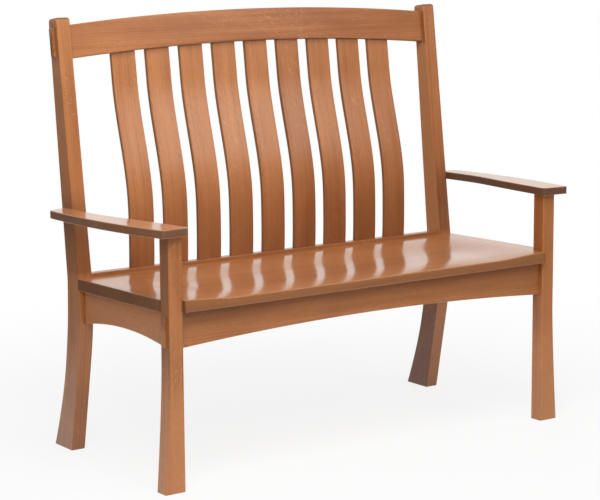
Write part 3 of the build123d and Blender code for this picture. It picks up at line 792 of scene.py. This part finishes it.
# Depths from the front edge to the rear, and the share of the scoop there
scoop_places = np.array([0, 0.075, 0.26, 0.405])
scoop_shares = np.array([0.74, 0.53, 1.0, 0.0])
scoop_front_slope = -7.0
# Painted shade darkens the rounded front edge and dulls its coat. Behind it the varnish is worn dull,
# and the wood is paler.
seat_edge_painted_shade = 0.68
seat_wear = 0.25
seat_wear_depth = 0.07
seat_paleness = 0.12
seat_worn_paleness = 0.19


def scoop(x, depth):
    """How deep the seat is scooped: rolled over at the front, deepest in the middle, none at the rear.

    Towards the ends it runs out by 3 share squared - 2 share cubed.
    """
    across = smooth_step((scoop_end_half - np.abs(x)) / (scoop_end_half - scoop_flat_half))
    along = bent(np.clip(depth, 0, scoop_places[-1]), scoop_places, scoop_shares, scoop_front_slope, 0)
    return scoop_depth * across * along


def filled_out(rows):
    """Outlines with more points put evenly into the top side, and a quarter as many into the bottom.

    These sides lie after the first corner's points and after the third's.
    """
    corner_points = len(quarter_turn) + 2
    share = np.linspace(0, 1, seat_top_points + 2)[None, 1:-1]
    first, sides, last = np.split(rows, [corner_points, 3 * corner_points], axis=1)
    top = ramp(first[:, -1:], sides[:, :1], share)
    bottom = ramp(sides[:, -1:], last[:, :1], share[:, ::4])
    return np.hstack([first, top, sides, bottom, last])


def seat_board(number):
    """Outlines from front to rear: a rectangle whose top side has many points and follows the scoop.

    At a notch two outlines of different width stand at one place, and the step between them is the
    notch's wall.
    """
    front, rear = (number - 1) * seat_board_depth, number * seat_board_depth
    if number == seat_boards:
        rear = back_rail_low.y - seat_gap - seat_front
    leg_notch = leg_high.y + seat_gap - seat_front
    post_notch = post_knee_front - seat_gap - seat_front
    place, inset = stations(front, rear, seat_front_ease * (number == 1), 0, seat_steps)
    for notch in (leg_notch, post_notch):
        if front < notch < rear:
            spot = np.searchsorted(place, notch)
            place, inset = np.insert(place, spot, [notch, notch]), np.insert(inset, spot, [0, 0])
    half = np.full(len(place), seat_half)
    half[place < leg_notch] = leg_inner - seat_gap
    half[place > post_notch] = leg_inner - seat_gap
    for notch, narrow in ((leg_notch, 0), (post_notch, 1)):
        if front < notch < rear:
            half[np.flatnonzero(place == notch)[narrow]] = leg_inner - seat_gap
    x, z, rounding, end = eased_outline(-half, half, -seat_thickness, seat_swell, seat_edge_ease, inset)
    x, z = filled_out(x), filled_out(z)
    rounding, end = filled_out(np.stack([rounding, end]))
    depth = np.broadcast_to(place[:, None], x.shape)
    upper = z > -seat_thickness / 2
    z = z - scoop(x, depth) * upper
    y = seat_front + depth * math.cos(seat_fall) + z * math.sin(seat_fall)
    height = seat_level + z * math.cos(seat_fall) - depth * math.sin(seat_fall)
    points = np.stack([x, y, height], -1)
    wood = from_board(crest_board + number, x, depth, z)
    worn = smooth_step(1 - depth / seat_wear_depth)
    # Painted shade on the rounded front edge, real soaking at the ends, and wear behind the edge.
    soaked_and_shaded = np.maximum(end, seat_edge_painted_shade * (inset / seat_front_ease)[:, None])
    soaked_and_shaded = np.maximum(soaked_and_shaded, seat_wear * upper * worn)
    paleness_and_light = ramp(seat_paleness, seat_worn_paleness, worn)
    return sawn(f"seat_plank_{number}", points, wood, rounding, soaked_and_shaded, paleness_and_light=paleness_and_light, cut_ends=0)


seat_oak = stained_oak("stained oak, seat", coat_weight=1.0, coat_roughness=0.17, gloss=0.07, dulled=0.75)
for number in range(1, seat_boards + 1):
    finished(seat_board(number), seat_oak, "oak", f"seat_board_{number}")

# Arms
# Broad 20 mm boards that bow outwards. Each sits on its leg's tenon at the front and is let along the
# post's outer face at the rear, where two dowels hold it.

arm_height = 0.631
arm_thickness = 0.02
arm_ease = 0.002
arm_steps = 70
arm_front = leg_low.y - 0.021
arm_front_slant = 0.007
arm_tail_slant = 0.022
arm_inner_radius = 0.011
arm_outer_radius = 0.004
arm_post_front = post_knee_front + (arm_height - post_knee_height) * math.tan(lean)
arm_rear = arm_post_front + 0.0393
arm_land = arm_post_front - 0.0777
arm_length = arm_rear - arm_front
# Shares of the length at which each side's bow is given, and the width at the front and at the bow
arm_outer_middle = 0.482
arm_inner_middle = 0.384
arm_front_width = 0.0775
arm_middle_width = 0.0825
arm_outer_depths = np.array(
    [arm_front, arm_front + arm_outer_middle * arm_length, arm_rear - arm_tail_slant]
)
arm_outer_reach = half_width + np.array([0.0255, 0.0575, 0.054])
arm_inner_depths = np.array(
    [arm_front + arm_front_slant, arm_front + arm_inner_middle * arm_length, arm_land]
)
arm_inner_reach = np.append(arm_outer_reach[:2] - (arm_front_width, arm_middle_width), half_width)
arm_paleness = 0.15
# The rims are darker: the ends' end grain soaked up stain, and painted shade darkens the rims all round
# and dulls their coat, the right arm's more.
arm_rim_soak_and_shade = {"left": 0.85, "right": 1.15}
arm_rim_painted_shade = {"left": 0.35, "right": 0.5}


def corner_cut(distance, radius):
    """How much a corner of the plan is cut back at a distance from the end: radius - its half chord."""
    short = np.clip(radius - distance, 0, radius)
    return radius - np.sqrt(radius**2 - short**2)


def arm(side, number):
    """Outlines across the arm from its slanted front to its slanted tail.

    The outer side is a parabola through three places, and the inner one bends from the front to the
    post's outer face and runs on along it.
    """
    from_front, inset = stations(0, arm_length, arm_ease, arm_ease, arm_steps)
    share = from_front / arm_length
    inner_y = arm_inner_depths[0] + share * (arm_rear - arm_inner_depths[0])
    outer_y = arm_front + share * (arm_outer_depths[2] - arm_front)
    outer = np.polyval(np.polyfit(arm_outer_depths, arm_outer_reach, 2), outer_y)
    slope = (arm_inner_reach[1] - arm_inner_reach[0]) / (arm_inner_depths[1] - arm_inner_depths[0])
    inner = np.minimum(bent(inner_y, arm_inner_depths, arm_inner_reach, slope, 0), half_width)
    low = corner_cut(from_front, arm_inner_radius)
    cut_back = np.maximum(
        corner_cut(from_front, arm_outer_radius), corner_cut(arm_length - from_front, arm_outer_radius)
    )
    width = outer - inner
    across, up, rounding, rim = eased_outline(low, width - cut_back, -arm_thickness, 0, arm_ease, inset)
    x = inner[:, None] + across
    y = inner_y[:, None] + (outer_y - inner_y)[:, None] * across / width[:, None]
    z = arm_height + up - arm_fall * (y - leg_low.y)
    points = np.stack([hands[side] * x, y, z], -1)
    wood = from_board(number, y, x - half_width, up)
    # Painted shade on the rims, with real soaking at the end grain.
    rim = np.maximum(rim, (inset / arm_ease)[:, None])
    soaked_and_shaded, painted_shade = arm_rim_soak_and_shade[side] * rim, arm_rim_painted_shade[side] * rim
    return sawn(f"armrest_{side}", points, wood, rounding, soaked_and_shaded, painted_shade, arm_paleness)


arm_oak = stained_oak("stained oak, arms", coat_weight=1.0, coat_roughness=0.14, gloss=0.45, dulled=0.3)
for number, side in enumerate(hands, start=crest_board + seat_boards + 1):
    finished(arm(side, number), arm_oak, "oak", f"arm_{side}")

# Dowels, glue blocks and centre rail
# Plain oak dowels pin the arms to the posts, and blocks and a rail of the same oak stiffen the seat
# from below. None of them shows from above, so they are planed and sealed but not stained.

sealed_deep = (0.4, 0.25, 0.135, 1)
sealed_pale = (0.6, 0.42, 0.25, 1)
sealed_pore = (0.24, 0.14, 0.07, 1)


def plain_oak():
    """Unstained oak: straight lines of growth along the longer side, pores and a dull sealer."""
    material, tree, shader = new_material("plain oak")
    place = node(tree, "TexCoord", {}).outputs["Object"]
    turned = node(tree, "Mapping", {"Vector": place, "Rotation": (0, 0, math.pi / 2)}).outputs[0]
    rings = growth_rings(tree, turned)
    pores = open_pores(tree, turned)
    clouds = grain_noise(tree, turned, (3.5, 17, 17), 3.0)
    tone = total(tree, 0, (rings, 0.5), (clouds, 0.5))
    colour = blend(tree, between(tree, tone, 0.3, 0.7), sealed_deep, sealed_pale)
    colour = blend(tree, product(tree, pores, 0.4), colour, sealed_pore)
    relief = total(tree, 0, (rings, 0.35), (pores, -1))
    dull = total(tree, 0.5, (clouds, 0.2))
    finish = {"Base Color": colour, "Roughness": dull, "Normal": bumped(tree, relief, 0.4, 0.0004)}
    plug(tree, shader, finish)
    return material


sealed_oak = plain_oak()
corners = [f"{end}_{side}" for end in ("front", "rear") for side in hands]
for name in ["arm_dowels", "centre_rail", *[f"corner_block_{corner}" for corner in corners]]:
    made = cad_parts[name]
    made.data.materials.clear()
    made.data.materials.append(sealed_oak)

# Wood screws
# Zinc-plated countersunk screws with square sockets. Two go through each block into its rails, and six
# go up into the seat from the blocks and the centre rail.

screw_head_radius = 0.004
screw_head_height = 0.003
screw_core_radius = 0.00145
screw_crest_radius = 0.002
screw_pitch = 0.0018
screw_points = 16
screw_rings_per_turn = 6
screw_tip_turns = 3
screw_tip_share = 0.12
screw_socket_half = 0.00115
screw_socket_depth = 0.0018
# The socket narrows to a share of its width, and the head's rim is broken by a little of its size
screw_socket_taper = 0.8
screw_rim_radius = 0.94
screw_rim_height = 0.1
screw_under_head = 0.014
screw_offset = 0.046
screw_seat_offset = 0.025
block_height = 0.04
block_screw_length = 0.027
seat_screw_length = 0.023
centre_screw_half_spacing = 0.11


def wood_screw(place, ahead, length):
    """Rings down a screw: square socket, head, cone, then a helical thread that runs out at the tip.

    The thread's radius is core + (crest - core) times a triangle wave of depth / pitch + turn.
    """
    angle = np.linspace(0, 2 * math.pi, screw_points, endpoint=False)
    square = 1 / np.maximum(np.abs(np.cos(angle)), np.abs(np.sin(angle)))
    even = np.ones_like(angle)
    head = [
        (screw_socket_taper * screw_socket_half * square, screw_socket_depth),
        (screw_socket_half * square, 0),
        (screw_rim_radius * screw_head_radius * even, 0),
        (screw_head_radius * even, screw_rim_height * screw_head_height),
        (screw_core_radius * even, screw_head_height),
    ]
    step = screw_pitch / screw_rings_per_turn
    depth = np.arange(screw_head_height + step, length, step)[:, None]
    wave = 1 - np.abs((depth / screw_pitch + angle / (2 * math.pi)) % 1 * 2 - 1)
    thread = screw_core_radius + (screw_crest_radius - screw_core_radius) * wave
    thread = thread * np.clip((length - depth) / (screw_tip_turns * screw_pitch), screw_tip_share, 1)
    radius = np.vstack([ring for ring, _ in head] + [thread])
    depth = np.concatenate([[level] for _, level in head] + [depth[:, 0]])[:, None]
    ahead = np.array(ahead, float)
    side = np.array([0, 0, 1]) if ahead[2] == 0 else np.array([1, 0, 0])
    other = np.cross(ahead, side)
    across, along = radius * np.cos(angle), radius * np.sin(angle)
    return np.array(place) + depth[..., None] * ahead + across[..., None] * side + along[..., None] * other


zinc_dull = (0.5, 0.49, 0.46, 1)
zinc_bright = (0.66, 0.64, 0.58, 1)


def zinc():
    """Thin bright zinc over steel, a little yellowed, with the faint streaks of the plating bath."""
    material, tree, shader = new_material("zinc-plated steel")
    place = node(tree, "TexCoord", {}).outputs["Object"]
    streaks = grain_noise(tree, place, (900, 900, 300), 3.0)
    colour = blend(tree, streaks, zinc_dull, zinc_bright)
    plug(tree, shader, {"Base Color": colour, "Roughness": total(tree, 0.25, (streaks, 0.2)), "Metallic": 1})
    return material


rail_inner = half_width - rail_setback - rail_thickness
apron_rear = apron_front + apron_thickness
block_screws, seat_fixings = [], []
for y, way_y in ((apron_rear, 1), (back_rail_low.y, -1)):
    z = seat_underside(y) - block_height / 2
    for way_x in (1, -1):
        x = -way_x * rail_inner
        side_place = (x + way_x * screw_under_head, y + way_y * screw_offset, z)
        end_place = (x + way_x * screw_offset, y + way_y * screw_under_head, z)
        block_screws.append(wood_screw(side_place, (-way_x, 0, 0), block_screw_length))
        block_screws.append(wood_screw(end_place, (0, -way_y, 0), block_screw_length))
        depth = y + way_y * screw_seat_offset
        place = (x + way_x * screw_seat_offset, depth, seat_underside(depth) - screw_under_head)
        seat_fixings.append(wood_screw(place, (0, 0, 1), seat_screw_length))
for way in (-1, 1):
    depth = (apron_rear + back_rail_low.y) / 2 + way * centre_screw_half_spacing
    place = (0, depth, seat_underside(depth) - screw_under_head)
    seat_fixings.append(wood_screw(place, (0, 0, 1), seat_screw_length))

plated = zinc()
finished(skinned("block_screws", block_screws), plated, "steel", "corner_block_screws")
finished(skinned("seat_fixings", seat_fixings), plated, "steel", "seat_screws")

# Studio
# A pale floor that runs out into white, and soft lamps: one above, one at the left, a warm softbox at
# the right that the varnish mirrors, and one behind for the sides that the photograph doesn't show.
# The camera stands where the photographer's stood.

white = (1, 1, 1, 1)
mirrored_white = (1, 0.99, 0.95, 1)
floor_half = 9.0
floor_tone = (0.86, 0.855, 0.85, 1)
# How white the floor glows by the settle, how much its mirrored glow dims away from it, and the
# distances that these change between
floor_whiteness = 0.86
floor_mirrored_dimming = 0.9
floor_near = 0.6
floor_seen_far = 2.2
floor_mirrored_far = 2.7


def pale_floor():
    """A matt floor that the camera sees partly glowing, and wholly white away from the settle.

    Gloss mirrors it as a glow of its own, which dims away from the settle.
    """
    material, tree, _ = new_material("pale floor")
    tree.nodes.clear()
    place = node(tree, "TexCoord", {}).outputs["Object"]
    away = node(tree, "VectorMath", {0: place}, operation="LENGTH").outputs["Value"]
    seen_far = between(tree, away, floor_near, floor_seen_far)
    mirrored_far = between(tree, away, floor_near, floor_mirrored_far)
    whiteness = total(tree, floor_whiteness, (seen_far, 1 - floor_whiteness))
    glow = total(tree, 1, (mirrored_far, -floor_mirrored_dimming))
    lit = node(tree, "BsdfDiffuse", {"Color": floor_tone}).outputs[0]
    glowing = node(tree, "Emission", {"Color": white, "Strength": 1.0}).outputs[0]
    seen = node(tree, "MixShader", {0: whiteness, 1: lit, 2: glowing}).outputs[0]
    mirrored = node(tree, "Emission", {"Color": mirrored_white, "Strength": glow}).outputs[0]
    ray = node(tree, "LightPath", {})
    other = node(tree, "MixShader", {0: ray.outputs["Is Glossy Ray"], 1: lit, 2: mirrored}).outputs[0]
    surface = node(tree, "MixShader", {0: ray.outputs["Is Camera Ray"], 1: other, 2: seen}).outputs[0]
    node(tree, "OutputMaterial", {"Surface": surface})
    return material


# The backdrop's strength to the camera and on the wood. Gloss mirrors it in full from the rear, and as
# a share of that from the front and from the left. It changes between two slants of the way that a ray
# goes, rearward and to the right.
backdrop_seen = 1.0
backdrop_on_wood = 0.18
backdrop_front_share = 0.31
backdrop_left_share = 0.5
front_slant, rear_slant = -0.3, 0.3
left_slant, right_slant = -0.5, 0.1


def backdrop():
    """A world that is white to the camera and soft on the wood, and brightens in gloss to the rear."""
    world = bpy.data.worlds.new("backdrop")
    world.use_nodes = True
    tree = world.node_tree
    ray = node(tree, "LightPath", {})
    glossy = ray.outputs["Is Glossy Ray"]
    way = node(tree, "SeparateXYZ", {0: node(tree, "TexCoord", {}).outputs["Generated"]})
    rearward = node(tree, "MapRange", {"Value": way.outputs["Y"], "To Min": backdrop_front_share})
    plug(tree, rearward, {"From Min": front_slant, "From Max": rear_slant})
    rightward = between(tree, way.outputs["X"], left_slant, right_slant)
    to_right = total(tree, backdrop_left_share, (rightward, 1 - backdrop_left_share))
    mirrored = product(tree, rearward.outputs[0], to_right)
    to_camera = {"Value": ray.outputs["Is Camera Ray"], "To Min": backdrop_on_wood, "To Max": backdrop_seen}
    seen = node(tree, "MapRange", to_camera).outputs[0]
    strength = node(tree, "Mix", {0: glossy, 2: seen, 3: mirrored}).outputs[0]
    colour = blend(tree, glossy, white, mirrored_white)
    plug(tree, tree.nodes["Background"], {"Color": colour, "Strength": strength})
    return world


def soft_lamp(name, place, aim_height, width, power, in_gloss=False, colour=(1, 1, 1)):
    """A square lamp at a place, turned to shine at a height over the middle of the floor."""
    lamp = bpy.data.lights.new(name, "AREA")
    lamp.size = width
    lamp.energy = power
    lamp.color = colour
    light = bpy.data.objects.new(name, lamp)
    away = np.array(place) - (0, 0, aim_height)
    yaw = math.atan2(away[0], -away[1])
    pitch = math.atan2(math.hypot(away[0], away[1]), away[2])
    turned = Matrix.Rotation(yaw, 4, "Z") @ Matrix.Rotation(pitch, 4, "X")
    light.matrix_world = Matrix.Translation(place) @ turned
    light.visible_glossy = in_gloss
    bpy.context.scene.collection.objects.link(light)


scene = bpy.context.scene
scene.view_settings.view_transform = "Standard"
scene.world = backdrop()
floor_mesh = bpy.data.meshes.new("floor")
edges = [(-floor_half, -floor_half, 0), (floor_half, -floor_half, 0)]
edges += [(floor_half, floor_half, 0), (-floor_half, floor_half, 0)]
floor_mesh.from_pydata(edges, [], [(0, 1, 2, 3)])
floor_mesh.materials.append(pale_floor())
floor = bpy.data.objects.new("floor", floor_mesh)
scene.collection.objects.link(floor)
soft_lamp("key", place=(-0.64, -1.36, 3.12), aim_height=0.4, width=1.3, power=51)
soft_lamp("side light", place=(-1.83, -1.83, 2.18), aim_height=0.4, width=1.3, power=34.5)
warm = (1, 0.96, 0.87)
soft_lamp("softbox", (1.9, -2.7, 2.3), aim_height=0.7, width=1.1, power=18.5, in_gloss=True, colour=warm)
soft_lamp("rear light", place=(1.9, 2.4, 1.3), aim_height=0.5, width=1.6, power=22)

camera_place = (-2.907, leg_low.y - 3.798, 1.320)
camera_yaw = math.radians(-35.222)
camera_pitch = math.radians(9.475)
camera_roll = math.radians(-0.364)
camera_lens = 117.60

camera = bpy.data.objects.new("camera", bpy.data.cameras.new("camera"))
camera.data.lens = camera_lens
camera.data.sensor_width = 36
camera.data.sensor_fit = "HORIZONTAL"
camera.matrix_world = (
    Matrix.Translation(camera_place)
    @ Matrix.Rotation(camera_yaw, 4, "Z")
    @ Matrix.Rotation(math.pi / 2 - camera_pitch, 4, "X")
    @ Matrix.Rotation(camera_roll, 4, "Z")
)
scene.collection.objects.link(camera)
scene.camera = camera
